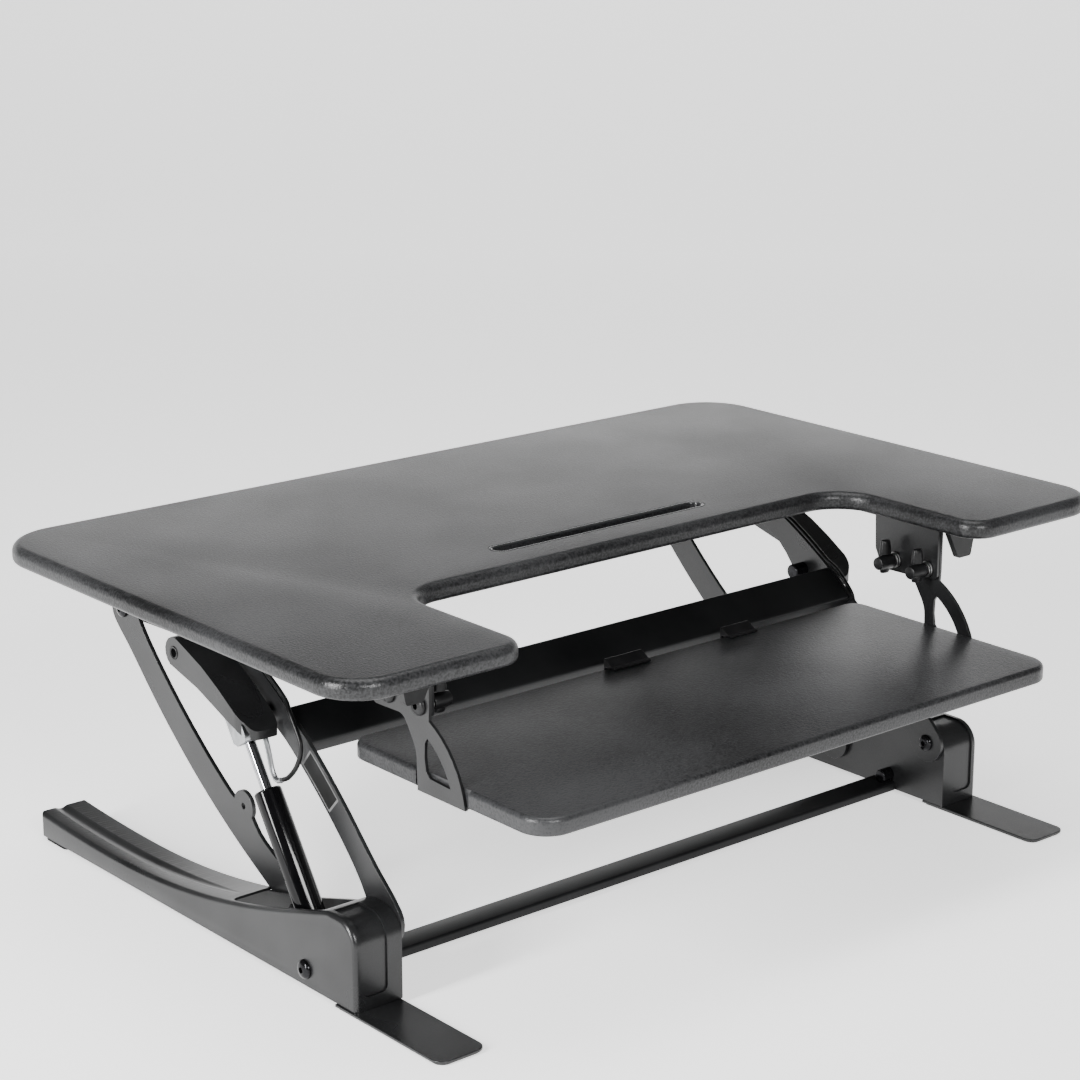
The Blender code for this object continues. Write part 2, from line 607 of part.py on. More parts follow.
def hinge_bracket(body, look, side, name):
    """The angle under the panel that carries both arms' upper pivots on one side."""
    web_in, web_out, sheet = 0.3322, 0.3352, 0.0028
    outline = rounded(
        [(0.282, PLATE_TOP, 0), (0.282, 0.290, 0)] + sharp(arc(FRONT_TOP, 0.0165, 195, 285, 5))
        + [(0.326, 0.2640, 0.006), (0.344, 0.2425, 0.008), (0.404, 0.2405, 0)]
        + sharp(arc(REAR_TOP, 0.0165, 230, 360, 8)) + [(REAR_TOP[0] + 0.0165, PLATE_TOP, 0)])
    bracket = body.add(f"hinge_bracket_{name}", prism_x(outline, side * web_in, side * web_out),
                       look["steel"])
    window = rounded([(0.334, 0.300, 0.006), (0.346, 0.2500, 0.006), (0.404, 0.2480, 0.006),
                      (0.410, 0.300, 0.006)])
    body.cut(bracket, prism_x(window, side * 0.32, side * 0.34))
    body.cut(bracket, box(side * 0.3000, side * (web_out - 0.0005), 0.284, 0.446,
                          PLATE_TOP - sheet, PLATE_TOP), "UNION")
    for centre in (FRONT_TOP, REAR_TOP):
        body.cut(bracket, prism_x(circle(centre, 0.0043), side * 0.32, side * 0.34))
    for label, centre in (("front", FRONT_TOP), ("rear", REAR_TOP)):
        pivot_bolt(body, f"{label}_top_bolt_{name}", centre, side, look["fastener"],
                   head=ARM_OUTER + GAP, head_out=True, far=web_in - GAP)


TRAY_BOLTS = ((0.005, 0.2605), (0.047, 0.2605))
HANGER_IN = 0.3092
HANGER_OUT = 0.3122
TRAY_PLATE_IN = 0.3125
TRAY_PLATE_OUT = 0.3155


def tray_hanger(body, look, side, name):
    outline = rounded([(0.076, PLATE_TOP, 0), (0.074, 0.266, 0.012), (0.064, 0.2515, 0.006),
                       (-0.008, 0.2515, 0.005), (-0.008, PLATE_TOP, 0)], 4)
    hanger = body.add(f"tray_hanger_{name}", prism_x(outline, side * HANGER_IN, side * HANGER_OUT),
                      look["steel"])
    body.cut(hanger, box(side * 0.2810, side * (HANGER_OUT - 0.0005), -0.006, 0.072,
                         PLATE_TOP - 0.0028, PLATE_TOP), "UNION")
    for centre in TRAY_BOLTS:
        body.cut(hanger, prism_x(circle(centre, 0.0035, 16), side * 0.30, side * 0.32))


def tray_bracket(body, look, side, name):
    """The plate that drops from the hanger to the tray's edge, with its bent foot under the tray."""
    foot = TRAY_BOTTOM - GAP - 0.0027
    bow = (0.0327, 0.1700)
    outline = rounded(
        [(0.077, PLATE_TOP, 0), (0.076, 0.264, 0.012), (0.068, 0.2465, 0.006), (0.0270, 0.2475, 0.012),
         (0.0095, 0.2200, 0.030), (0.0085, foot, 0), (-0.0560, foot, 0)]
        + sharp(arc(bow, 0.0895, 170, 117, 8)) + [(-0.0085, 0.2600, 0), (-0.0085, PLATE_TOP, 0)], 4)
    bracket = body.add(f"tray_bracket_{name}",
                       prism_x(outline, side * TRAY_PLATE_IN, side * TRAY_PLATE_OUT), look["steel"])
    window = arc(bow, 0.0746, 158, 121, 6) + [(-0.0024, 0.2290), (-0.0018, 0.2160), (-0.0036, 0.2040),
                                              (-0.0085, 0.1992)]
    body.cut(bracket, prism_x(window, side * 0.30, side * 0.33))
    body.cut(bracket, box(side * 0.2900, side * (TRAY_PLATE_OUT - 0.0005), -0.054, 0.002,
                          foot, TRAY_BOTTOM - GAP), "UNION")
    for centre in TRAY_BOLTS:
        body.cut(bracket, prism_x(circle(centre, 0.0035, 16), side * 0.30, side * 0.33))


def tray_knob(body, look, side, centre, label):
    """A button-head bolt from outside with the wing knob that clamps it inside."""
    profile = [(TRAY_PLATE_OUT + 0.0045, 0.0050), (TRAY_PLATE_OUT + 0.0025, 0.0084),
               (TRAY_PLATE_OUT + GAP, 0.0088), (TRAY_PLATE_OUT + GAP, 0.0031),
               (HANGER_IN - GAP, 0.0031), (HANGER_IN - GAP, 0.0080), (0.3040, 0.0080),
               (0.3030, 0.0068), (0.2850, 0.0068), (0.2835, 0.0050)]
    knob = body.add(label, turned_x(centre, profile, side), look["plastic"], True)
    wing = [(centre[0] + v, centre[1] + 0.006 + u) for u, v in stadium(0.0170, 0.0058, (0, 0), 6)]
    body.cut(knob, prism_x(wing, side * 0.2870, side * 0.3012), "UNION")


def tray_plan(inset):
    wide, corner, far = TRAY_HALF_WIDTH - inset, TRAY_CORNER_R - inset, TRAY_REAR_CORNER_R - inset
    front, rear = TRAY_FRONT + inset, TRAY_REAR - inset
    return rounded([(-wide, front, corner), (wide, front, corner), (wide, rear, far),
                    (-wide, rear, far)], 8)


def keyboard_tray(body, look):
    tray = body.add("keyboard_tray",
                    edge_rounded_panel(tray_plan, TRAY_BOTTOM, TRAY_TOP, 0.0025, 0.0045, 3),
                    look["laminate"], True)
    for side in (-1, 1):
        body.cut(tray, box(side * (TRAY_PLATE_IN - GAP), side * 0.33, -0.0605, 0.0105, 0.18, 0.21))
    for label, x_a, x_b in (("centre", -0.020, 0.026), ("right", 0.130, 0.166)):
        clip = rounded([(0.0930, TRAY_TOP + GAP, 0), (TRAY_REAR + GAP, TRAY_TOP + GAP, 0),
                        (TRAY_REAR + GAP, TRAY_BOTTOM + 0.002, 0), (TRAY_REAR + 0.0024, TRAY_BOTTOM + 0.002, 0),
                        (TRAY_REAR + 0.0024, TRAY_TOP + 0.0085, 0.001), (TRAY_REAR, TRAY_TOP + 0.0090, 0.001),
                        (0.0970, TRAY_TOP + 0.0030, 0.001), (0.0930, TRAY_TOP + 0.0025, 0)], 2)
        body.add(f"tray_rear_clip_{label}", prism_x(clip, x_a, x_b), look["plastic"])


# ---- release handles ----------------------------------------------------------------------------
HANDLE_IN = 0.3235
HANDLE_OUT = 0.3500
CHEEK = 0.0016


def handle_bracket(body, look, side, name):
    """A small U bracket under the panel with the handle's pin holes."""
    cheek = [(-0.002 + HANDLE_PIVOT[0] - 0.006, PLATE_TOP)] + \
        [(p[0], p[1]) for p in arc(HANDLE_PIVOT, 0.0065, 180, 360, 8)] + [(0.038, 0.3090), (0.038, PLATE_TOP)]
    x_in, x_out = HANDLE_IN - GAP - CHEEK, HANDLE_OUT + GAP + CHEEK
    bracket = body.add(f"handle_bracket_{name}", prism_x(cheek, side * x_in, side * x_out), look["steel"])
    body.cut(bracket, box(side * (x_in + CHEEK), side * (x_out - CHEEK), -0.05, 0.06, 0.28,
                          PLATE_TOP - CHEEK))
    body.cut(bracket, prism_x(circle(HANDLE_PIVOT, 0.0022, 16), side * 0.31, side * 0.36))


def release_handle(body, look, side, name):
    """The squeeze handle: a tapered finger pull on a short lever, with its own pin."""
    y, z = HANDLE_PIVOT
    lever = rounded([(y + 0.0055, z + 0.0040, 0.003), (-0.0150, 0.3045, 0), (-0.0150, 0.2965, 0),
                     (-0.0095, 0.2960, 0.006), (y + 0.0055, z - 0.0050, 0.004)], 4)
    handle = body.add(f"release_handle_{name}", prism_x(lever, side * HANDLE_IN, side * HANDLE_OUT),
                      look["plastic"])
    pull = rounded([(side * 0.3140, 0.3050, 0.001), (side * 0.3505, 0.3050, 0.001),
                    (side * 0.3495, 0.2890, 0.006), (side * 0.3460, 0.2725, 0.003),
                    (side * 0.3285, 0.2725, 0.003), (side * 0.3140, 0.3000, 0.002)][::side], 4)
    body.cut(handle, loft([[(u, at, v) for u, v in pull] for at in (-0.0180, -0.0115)]), "UNION")
    pin = turned_x(HANDLE_PIVOT, [(HANDLE_IN - CHEEK - 0.0010, 0.0019), (HANDLE_OUT + CHEEK + 0.0010, 0.0019)],
                   side, 16)
    body.cut(handle, pin, "UNION")


# ---- assembly -----------------------------------------------------------------------------------
def main():
    for old in list(bpy.data.objects):
        bpy.data.objects.remove(old, do_unlink=True)
    look = all_materials()

    datum = Body("datum")
    base = Body("base", parent=datum)
    arms = Body("front_arms", *FRONT_PIVOT, parent=datum)
    desktop = Body("desktop", *FRONT_TOP, parent=arms)

    crossbeam_low(base, look)
    crossbeam_high(arms, look)
    top_panel(desktop, look)
    keyboard_tray(desktop, look)

    for side, name in ((-1, "left"), (1, "right")):
        base_side(base, look, side, name)

        front_arm(arms, look, side, name)
        spring_bracket(arms, look, side, name)
        spring_pin(arms, look, side, name)
        cable(arms, f"release_cable_lower_{name}", lower_cable_route(side), look["cable"])

        rear = Body(f"rear_lift_{name}", *REAR_PIVOT, parent=datum)
        rear_arm(rear, look, side, name)

        rod = Body(f"rod_{name}", *SPRING_HEAD, side * SPRING_X, parent=arms)
        spring_rod(rod, look, side, name)
        release_head(rod, look, side, name)
        cylinder = Body(f"cylinder_{name}", *SPRING_FOOT, side * SPRING_X, parent=rod)
        spring_cylinder(cylinder, look, side, name)

        hinge_bracket(desktop, look, side, name)
        tray_hanger(desktop, look, side, name)
        tray_bracket(desktop, look, side, name)
        for place, centre in zip(("front", "rear"), TRAY_BOLTS):
            tray_knob(desktop, look, side, centre, f"tray_knob_{place}_{name}")
        handle_bracket(desktop, look, side, name)
        cable(desktop, f"release_cable_upper_{name}", upper_cable_route(side), look["cable"])
        handle = Body(f"handle_{name}", *HANDLE_PIVOT, parent=desktop)
        release_handle(handle, look, side, name)

    datum.empty.location = (0, -DATUM, 0)


main()
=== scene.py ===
"""Looks of the standing desk converter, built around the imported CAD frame.

Metres, +X to the user's right, +Y away from the user, +Z up. Shapes are drawn with y measured back from
the front faces of the two bases, as in the CAD source, and put in place by FRONT, the frame's own y of
those faces.
"""

import json
import math

import bmesh
import bpy
from mathutils import Matrix, Vector


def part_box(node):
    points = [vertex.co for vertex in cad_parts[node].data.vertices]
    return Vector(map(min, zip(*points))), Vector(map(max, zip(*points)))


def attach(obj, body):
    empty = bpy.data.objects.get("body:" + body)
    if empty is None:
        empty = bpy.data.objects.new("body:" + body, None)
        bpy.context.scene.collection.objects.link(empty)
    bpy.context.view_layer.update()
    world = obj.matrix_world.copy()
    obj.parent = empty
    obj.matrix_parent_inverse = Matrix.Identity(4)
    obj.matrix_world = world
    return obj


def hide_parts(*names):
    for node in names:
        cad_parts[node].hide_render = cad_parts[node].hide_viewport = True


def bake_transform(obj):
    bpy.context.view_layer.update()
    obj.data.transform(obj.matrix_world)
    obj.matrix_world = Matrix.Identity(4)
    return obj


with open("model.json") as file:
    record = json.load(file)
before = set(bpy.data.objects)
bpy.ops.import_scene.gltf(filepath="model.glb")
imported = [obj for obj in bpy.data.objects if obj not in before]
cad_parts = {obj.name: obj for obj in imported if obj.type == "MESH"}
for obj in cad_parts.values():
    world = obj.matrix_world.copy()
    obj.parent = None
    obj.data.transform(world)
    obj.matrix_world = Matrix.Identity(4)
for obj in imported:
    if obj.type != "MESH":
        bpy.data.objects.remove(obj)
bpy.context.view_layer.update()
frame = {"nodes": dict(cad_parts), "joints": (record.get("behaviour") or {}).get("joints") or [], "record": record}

LEFT, RIGHT = (-1, "left"), (1, "right")
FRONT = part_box("base_shell_left")[0].y
PIVOT = {joint["name"]: Vector(joint["pos_m"]) for joint in frame["joints"] if "pos_m" in joint}


def drawn(name):
    """A joint's (y, z) in the side view that shapes are drawn in."""
    return (PIVOT[name].y - FRONT, PIVOT[name].z)


# ---- materials ----------------------------------------------------------------------------------
NOISE_LOW, NOISE_HIGH = 0.3, 0.7  # most of a noise texture's values lie between these
SHEEN_PATCH = 6.0                # scale of the patches of higher and lower roughness


def link_noise(tree, scale, detail, stretch=None):
    """A noise texture on the piece's own coordinates, stretched along an axis if asked."""
    place = tree.nodes.new("ShaderNodeTexCoord")
    noise = tree.nodes.new("ShaderNodeTexNoise")
    noise.inputs["Scale"].default_value = scale
    noise.inputs["Detail"].default_value = detail
    source = place.outputs["Object"]
    if stretch:
        mapping = tree.nodes.new("ShaderNodeMapping")
        mapping.inputs["Scale"].default_value = stretch
        tree.links.new(source, mapping.inputs["Vector"])
        source = mapping.outputs["Vector"]
    tree.links.new(source, noise.inputs["Vector"])
    return noise.outputs["Fac"]


def ranged(tree, value, low, high):
    """Maps the middle of a noise's range to low...high."""
    node = tree.nodes.new("ShaderNodeMapRange")
    node.inputs["From Min"].default_value = NOISE_LOW
    node.inputs["From Max"].default_value = NOISE_HIGH
    node.inputs["To Min"].default_value = low
    node.inputs["To Max"].default_value = high
    tree.links.new(value, node.inputs["Value"])
    return node.outputs["Result"]


def finish(name, dark, light, rough, mottle, grain, depth, metallic=0.0, fleck=None, stretch=None, gloss=0.5):
    """A painted, moulded, plated or foil surface.

    dark and light are the colours that a mottle of this scale drifts between, rough is the lowest and the
    highest roughness, grain the scale of the texture in relief and depth its height in metres. fleck mixes
    the grain itself into the colour, stretch draws it out along an axis, and gloss is the specular level."""
    made = bpy.data.materials.new(name)
    made.use_nodes = True
    tree = made.node_tree
    shader = tree.nodes["Principled BSDF"]
    shader.inputs["Metallic"].default_value = metallic
    shader.inputs["Specular IOR Level"].default_value = gloss

    grain_value = link_noise(tree, grain, 3.0, stretch)
    tint = tree.nodes.new("ShaderNodeMix")
    tint.data_type = "RGBA"
    tint.inputs["A"].default_value = (*dark, 1.0)
    tint.inputs["B"].default_value = (*light, 1.0)
    drift = ranged(tree, link_noise(tree, mottle, 2.0), 0.0, 1.0)
    if fleck:
        blend = tree.nodes.new("ShaderNodeMath")
        blend.operation = "MULTIPLY_ADD"
        tree.links.new(ranged(tree, grain_value, -0.5, 0.5), blend.inputs[0])
        blend.inputs[1].default_value = fleck
        tree.links.new(drift, blend.inputs[2])
        drift = blend.outputs["Value"]
    tree.links.new(drift, tint.inputs["Factor"])
    tree.links.new(tint.outputs["Result"], shader.inputs["Base Color"])

    patches = ranged(tree, link_noise(tree, SHEEN_PATCH, 4.0), *rough)
    tree.links.new(patches, shader.inputs["Roughness"])

    bump = tree.nodes.new("ShaderNodeBump")
    bump.inputs["Strength"].default_value = 1.0
    bump.inputs["Distance"].default_value = depth
    tree.links.new(grain_value, bump.inputs["Height"])
    tree.links.new(bump.outputs["Normal"], shader.inputs["Normal"])
    return made


LOOK = {
    "laminate": finish("laminate", (0.0030, 0.0031, 0.0034), (0.0320, 0.0325, 0.0340), (0.30, 0.37),
                       mottle=5.0, grain=480.0, depth=0.00034, fleck=1.1, gloss=0.40),
    "steel": finish("powder_coat", (0.0055, 0.0056, 0.0060), (0.0180, 0.0183, 0.0190), (0.25, 0.33),
                    mottle=14.0, grain=900.0, depth=0.00008, fleck=0.6, gloss=0.46),
    # the powder coat, duller and darker for the crossbeams: the darker colour is painted shade for their place
    # under the desktop
    "beam": finish("powder_coat_painted_shade", (0.0040, 0.0042, 0.0046), (0.0090, 0.0093, 0.0098), (0.36, 0.46),
                   mottle=14.0, grain=900.0, depth=0.00008, fleck=0.5, gloss=0.22),
    "fastener": finish("black_zinc", (0.010, 0.010, 0.011), (0.024, 0.024, 0.026), (0.14, 0.24),
                       mottle=200.0, grain=1800.0, depth=0.00002, metallic=0.85),
    "washer": finish("zinc_washer", (0.52, 0.52, 0.52), (0.62, 0.62, 0.61), (0.22, 0.34),
                     mottle=300.0, grain=2200.0, depth=0.00002, metallic=1.0),
    "cylinder": finish("gloss_lacquer", (0.0012, 0.0012, 0.0015), (0.0024, 0.0024, 0.0028), (0.07, 0.12),
                       mottle=60.0, grain=600.0, depth=0.000003, gloss=0.22),
    "chrome": finish("chrome", (0.34, 0.345, 0.36), (0.42, 0.425, 0.44), (0.04, 0.08),
                     mottle=90.0, grain=2600.0, depth=0.000004, metallic=1.0, stretch=(1.0, 1.0, 0.1)),
    "alloy": finish("cast_alloy", (0.36, 0.37, 0.38), (0.50, 0.51, 0.52), (0.30, 0.44),
                    mottle=120.0, grain=1500.0, depth=0.00008, metallic=1.0, fleck=0.4),
    "rubber": finish("rubber", (0.004, 0.004, 0.004), (0.010, 0.010, 0.010), (0.70, 0.86),
                     mottle=50.0, grain=1400.0, depth=0.00008, gloss=0.2),
    "cable": finish("cable_sheath", (0.003, 0.003, 0.0035), (0.006, 0.006, 0.006), (0.28, 0.38),
                    mottle=70.0, grain=1200.0, depth=0.00003, gloss=0.28),
    "nylon": finish("black_nylon", (0.0040, 0.0040, 0.0044), (0.0100, 0.0100, 0.0105), (0.30, 0.42),
                    mottle=90.0, grain=1300.0, depth=0.00006, gloss=0.30),
    "label": finish("label_foil", (0.11, 0.11, 0.11), (0.15, 0.15, 0.15), (0.40, 0.50),
                    mottle=80.0, grain=1500.0, depth=0.00001),
    "label_ink": finish("label_field", (0.004, 0.004, 0.004), (0.008, 0.008, 0.008), (0.35, 0.45),
                        mottle=80.0, grain=1500.0, depth=0.00001, gloss=0.2),
    "rim": finish("groove_rim", (0.020, 0.021, 0.022), (0.030, 0.031, 0.032), (0.16, 0.24),
                  mottle=60.0, grain=1200.0, depth=0.00003),
}


# ---- outlines -----------------------------------------------------------------------------------
def arc(centre, radius, start_deg, end_deg, steps):
    """Points on an arc, from its start angle to its end angle, both included."""
    angles = [math.radians(start_deg + (end_deg - start_deg) * i / steps) for i in range(steps + 1)]
    return [(centre[0] + radius * math.cos(a), centre[1] + radius * math.sin(a)) for a in angles]


def circle(centre, radius, segments=48):
    """A closed outline of this many points."""
    return arc(centre, radius, 0, 360 * (segments - 1) / segments, segments - 1)


def rounded(corners, steps=8):
    """A polygon whose corners (u, v, radius) are replaced by arcs that touch both sides."""
    points = []
    for i, (u, v, radius) in enumerate(corners):
        here = Vector((u, v))
        if radius == 0:
            points.append((u, v))
            continue
        to_last = (Vector(corners[i - 1][:2]) - here).normalized()
        to_next = (Vector(corners[(i + 1) % len(corners)][:2]) - here).normalized()
        half = to_last.angle(to_next) / 2
        centre = here + (to_last + to_next).normalized() * (radius / math.sin(half))
        start = here + to_last * (radius / math.tan(half)) - centre
        end = here + to_next * (radius / math.tan(half)) - centre
        first = math.atan2(start.y, start.x)
        turn = (math.atan2(end.y, end.x) - first + math.pi) % (2 * math.pi) - math.pi
        for k in range(steps + 1):
            angle = first + turn * k / steps
            points.append((centre.x + radius * math.cos(angle), centre.y + radius * math.sin(angle)))
    return points


def along(start, angle, length):
    """The point at this length from start, in the direction of angle."""
    return (start[0] + length * math.cos(angle), start[1] + length * math.sin(angle))


# ---- mesh work ----------------------------------------------------------------------------------
def loft(sections):
    """Skins a closed solid over sections, each a list of 3D points of the same count."""
    shape = bmesh.new()
    rings = [[shape.verts.new(p) for p in section] for section in sections]
    for low, high in zip(rings, rings[1:]):
        for i in range(len(low)):
            j = (i + 1) % len(low)
            shape.faces.new((low[i], low[j], high[j], high[i]))
    shape.faces.new(list(reversed(rings[0])))
    shape.faces.new(rings[-1])
    bmesh.ops.recalc_face_normals(shape, faces=shape.faces)
    return shape


def prism_x(outline, x_a, x_b):
    """An outline of (y, z) points drawn out along X."""
    return loft([[(x, y, z) for y, z in outline] for x in sorted((x_a, x_b))])


def prism_y(outline, y_a, y_b):
    """An outline of (x, z) points drawn out along Y."""
    return loft([[(x, y, z) for x, z in outline] for y in (y_a, y_b)])


def prism_z(outline, low, high):
    """An outline of (x, y) points drawn out along Z."""
    return loft([[(x, y, z) for x, y in outline] for z in (low, high)])


def turned_x(centre, profile, side, segments=48):
    """A turned piece with its axis along X: profile is a list of (|x|, radius)."""
    return loft([[(side * x, y, z) for y, z in circle(centre, r, segments)] for x, r in profile])


def joined(*shapes):
    """One bmesh that holds all of these."""
    whole = bmesh.new()
    for shape in shapes:
        part = bpy.data.meshes.new("part")
        shape.to_mesh(part)
        shape.free()
        whole.from_mesh(part)
        bpy.data.meshes.remove(part)
    return whole


def new_object(name, shape, look):
    """An object in the scene from a bmesh drawn in the side view's frame."""
    bmesh.ops.translate(shape, verts=shape.verts, vec=(0, FRONT, 0))
    mesh = bpy.data.meshes.new(name)
    shape.to_mesh(mesh)
    shape.free()
    mesh.materials.append(LOOK[look])
    made = bpy.data.objects.new(name, mesh)
    bpy.context.scene.collection.objects.link(made)
    return made


def taken_back(made):
    """The object's mesh as a bmesh in the side view's frame. The object itself is removed."""
    shape = bmesh.new()
    shape.from_mesh(made.data)
    bmesh.ops.translate(shape, verts=shape.verts, vec=(0, -FRONT, 0))
    bpy.data.objects.remove(made, do_unlink=True)
    return shape


def shade(mesh, angle=35):
    """Shades smoothly, apart from edges that turn by more than the angle."""
    mesh.shade_smooth()
    mesh.set_sharp_from_angle(angle=math.radians(angle))


def carve(target, shape, operation="DIFFERENCE"):
    """Cuts, joins or trims target with a bmesh in the side view's frame, and keeps the result."""
    tool = new_object("carving_tool", shape, "steel")
    step = target.modifiers.new("carve", "BOOLEAN")
    step.operation = operation
    step.object = tool
    graph = bpy.context.evaluated_depsgraph_get()
    result = bpy.data.meshes.new_from_object(target.evaluated_get(graph))
    target.modifiers.clear()
    target.data = result
    bpy.data.objects.remove(tool, do_unlink=True)


BEVEL_FROM = 30                  # degrees by which an edge turns before it is eased


def ease_edges(target, width, segments=2):
    """Rounds every sharp edge by a bevel and shades what lies between smoothly."""
    step = target.modifiers.new("eased_edges", "BEVEL")
    step.width = width
    step.segments = segments
    step.limit_method = "ANGLE"
    step.angle_limit = math.radians(BEVEL_FROM)
    step.harden_normals = True
    shade(target.data, 40)


def body_of_node(node):
    """The body that a CAD node belongs to."""
    for body, members in frame["record"]["behaviour"]["bodies"].items():
        if node in members:
            return body


def stand_in(made, node):
    """The piece rides where its CAD node rides, and is shown in its place."""
    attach(made, body_of_node(node))
    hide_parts(node)


MERGE_WITHIN = 2e-5
FLAT_WITHIN = 1.0                # degrees


def refined(node, look, width, segments=2):
    """A CAD node's own shape with its facets merged and its edges eased."""
    shape = bmesh.new()
    shape.from_mesh(frame["nodes"][node].data)
    bmesh.ops.remove_doubles(shape, verts=shape.verts, dist=MERGE_WITHIN)
    bmesh.ops.dissolve_limit(shape, angle_limit=math.radians(FLAT_WITHIN), verts=shape.verts,
                             edges=shape.edges)
    bmesh.ops.translate(shape, verts=shape.verts, vec=(0, -FRONT, 0))
    made = new_object(f"{node}_finished", shape, look)
    ease_edges(made, width, segments)
    stand_in(made, node)
    return made


TUBE_SIDES = 16
STEPS_PER_SPAN = 12              # of the curve between two of a route's own points


def tube(route, radius):
    """A round tube along a list of points."""
    route = [Vector(p) for p in route]
    rings = []
    across = Vector((0, 0, 1))
    for i, here in enumerate(route):
        ahead = (route[min(i + 1, len(route) - 1)] - route[max(i - 1, 0)]).normalized()
        across = (across - ahead * across.dot(ahead)).normalized()
        beside = ahead.cross(across)
        rings.append([here + across * u + beside * v for u, v in circle((0, 0), radius, TUBE_SIDES)])
    return loft(rings)


def smooth_route(points, spacing):
    """Evenly spaced points on a smooth curve through the route's own points."""
    points = [Vector(p) for p in points]
    padded = [2 * points[0] - points[1]] + points + [2 * points[-1] - points[-2]]
    fine = []
    for a, b, c, d in zip(padded, padded[1:], padded[2:], padded[3:]):
        for k in range(STEPS_PER_SPAN):
            t = k / STEPS_PER_SPAN
            fine.append(0.5 * (2 * b + (c - a) * t + (2 * a - 5 * b + 4 * c - d) * t * t
                               + (3 * b - a - 3 * c + d) * t ** 3))
    fine.append(points[-1])
    total = sum((q - p).length for p, q in zip(fine, fine[1:]))
    count = max(2, round(total / spacing))
    made, walked, goal = [fine[0]], 0.0, total / count
    for p, q in zip(fine, fine[1:]):
        step = (q - p).length
        while step > 0 and walked + step >= goal * len(made) - 1e-9 and len(made) < count:
            made.append(p.lerp(q, (goal * len(made) - walked) / step))
        walked += step
    return made + [fine[-1]]


# ---- bases --------------------------------------------------------------------------------------
BASE_LOW, BASE_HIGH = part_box("base_shell_right")
BASE_INNER, BASE_OUTER = BASE_LOW.x, BASE_HIGH.x
BASE_BOTTOM, CROWN_Z = BASE_LOW.z, BASE_HIGH.z
BASE_LENGTH = BASE_HIGH.y - FRONT
CROWN_Y = 0.040                  # the top edge's highest stretch ends here
NOSE_R = 0.024
SWEEP_END, SWEEP_R = 0.090, 0.960
VALLEY_Y, VALLEY_Z = 0.385, 0.0237
TAIL_R = 1.900
TOP_STATIONS = 90
SKIN = 0.0025
EDGE_R = 0.0045                  # of the shell's pressed outer edges
CLEAR = 0.01                     # how far cutters reach past what they cut
WELL_FRONT, WELL_REAR, WELL_LOW, WELL_HIGH = 0.050, 0.195, 0.030, 0.100
WELL_WALL = 0.0048               # what is left outside the spring's well
WELL_FRONT_R, WELL_REAR_R = 0.004, 0.010
EMBOSS = 0.0018                  # depth of the nose's pressed panel
EMBOSS_IN, EMBOSS_OUT, EMBOSS_LOW, EMBOSS_R = 0.3560, 0.3820, 0.0160, 0.006
CREASE_X, CREASE_HALF, CREASE_DEPTH, CREASE_FRONT = 0.3670, 0.0075, 0.0021, 0.205
CREASE_OPENING = 0.14            # length in which it opens to its full width and depth
CREASE_ACROSS = (1, 0.8, 0.6, 0.35, 0, -0.35, -0.6, -0.8, -1)
SPRING_FOOT = (0.073, 0.020)     # the spring bolt's (y, z)
SPRING_HOLE_R = 0.0055


def base_top(y):
    """Height of the base's top edge at this distance back."""
    if y > VALLEY_Y:
        return VALLEY_Z + (y - VALLEY_Y) ** 2 / (2 * TAIL_R)
    return VALLEY_Z + (VALLEY_Y - max(y, SWEEP_END)) ** 2 / (2 * SWEEP_R)


def top_line(inset, rear):
    """The top edge from the end of its highest stretch to the rear, drawn in by inset."""
    line = [(CROWN_Y, CROWN_Z - inset)]
    for i in range(TOP_STATIONS + 1):
        y = SWEEP_END + (rear - SWEEP_END) * i / TOP_STATIONS
        line.append((y, base_top(y) - inset))
    return line


def nose(inset):
    """The rounding from the front face to the top edge, drawn in by inset."""
    radius = NOSE_R - inset
    return arc((inset + radius, CROWN_Z - inset - radius), radius, 180, 90, 14)


def shell_outline(inset, bottom, rear):
    """The base seen from its side, with its front and top drawn in by inset."""
    return [(inset, bottom)] + nose(inset) + top_line(inset, rear) + [(rear, bottom)]


def rolled_solid(outline, x_flat, x_round, side, radius, steps=5):
    """A prism from x_flat to x_round whose edge at x_round is rolled over by the radius."""
    sections = [[(side * x_flat, y, z) for y, z in outline(0)]]
    for k in range(steps + 1):
        angle = math.radians(90 * k / steps)
        inset = radius * (1 - math.cos(angle))
        x = x_round - radius * (1 - math.sin(angle))
        sections.append([(side * x, y, z) for y, z in outline(inset)])
    return loft(sections)


def well_cutter(side):
    """The spring's well: open above and to the inner side."""
    inner, outer = side * (BASE_INNER - CLEAR), side * (BASE_OUTER - WELL_WALL)
    plan = rounded([(inner, WELL_FRONT, 0), (outer, WELL_FRONT, WELL_FRONT_R),
                    (outer, WELL_REAR, WELL_REAR_R), (inner, WELL_REAR, 0)], 5)
    return prism_z(plan, WELL_LOW, WELL_HIGH)


def emboss_cutter(side):
    """What the nose's pressed panel takes off: all outside the nose drawn in by EMBOSS, within a face
    with rounded lower corners."""
    rear, above = CROWN_Y - 0.001, CROWN_Z + CLEAR
    deep = [(EMBOSS, 0.0)] + nose(EMBOSS) + [(rear, CROWN_Z - EMBOSS)]
    outside = [(rear, above), (-CLEAR, above), (-CLEAR, 0.0)]
    cutter = new_object("emboss_tool", prism_x(deep + outside, side * EMBOSS_IN, side * EMBOSS_OUT), "steel")
    face_top, face_front, face_rear = 0.11, -0.02, 0.06
    face = rounded([(side * EMBOSS_IN, EMBOSS_LOW, EMBOSS_R), (side * EMBOSS_OUT, EMBOSS_LOW, EMBOSS_R),
                    (side * EMBOSS_OUT, face_top, 0), (side * EMBOSS_IN, face_top, 0)])
    carve(cutter, prism_y(face, face_front, face_rear), "INTERSECT")
    return taken_back(cutter)


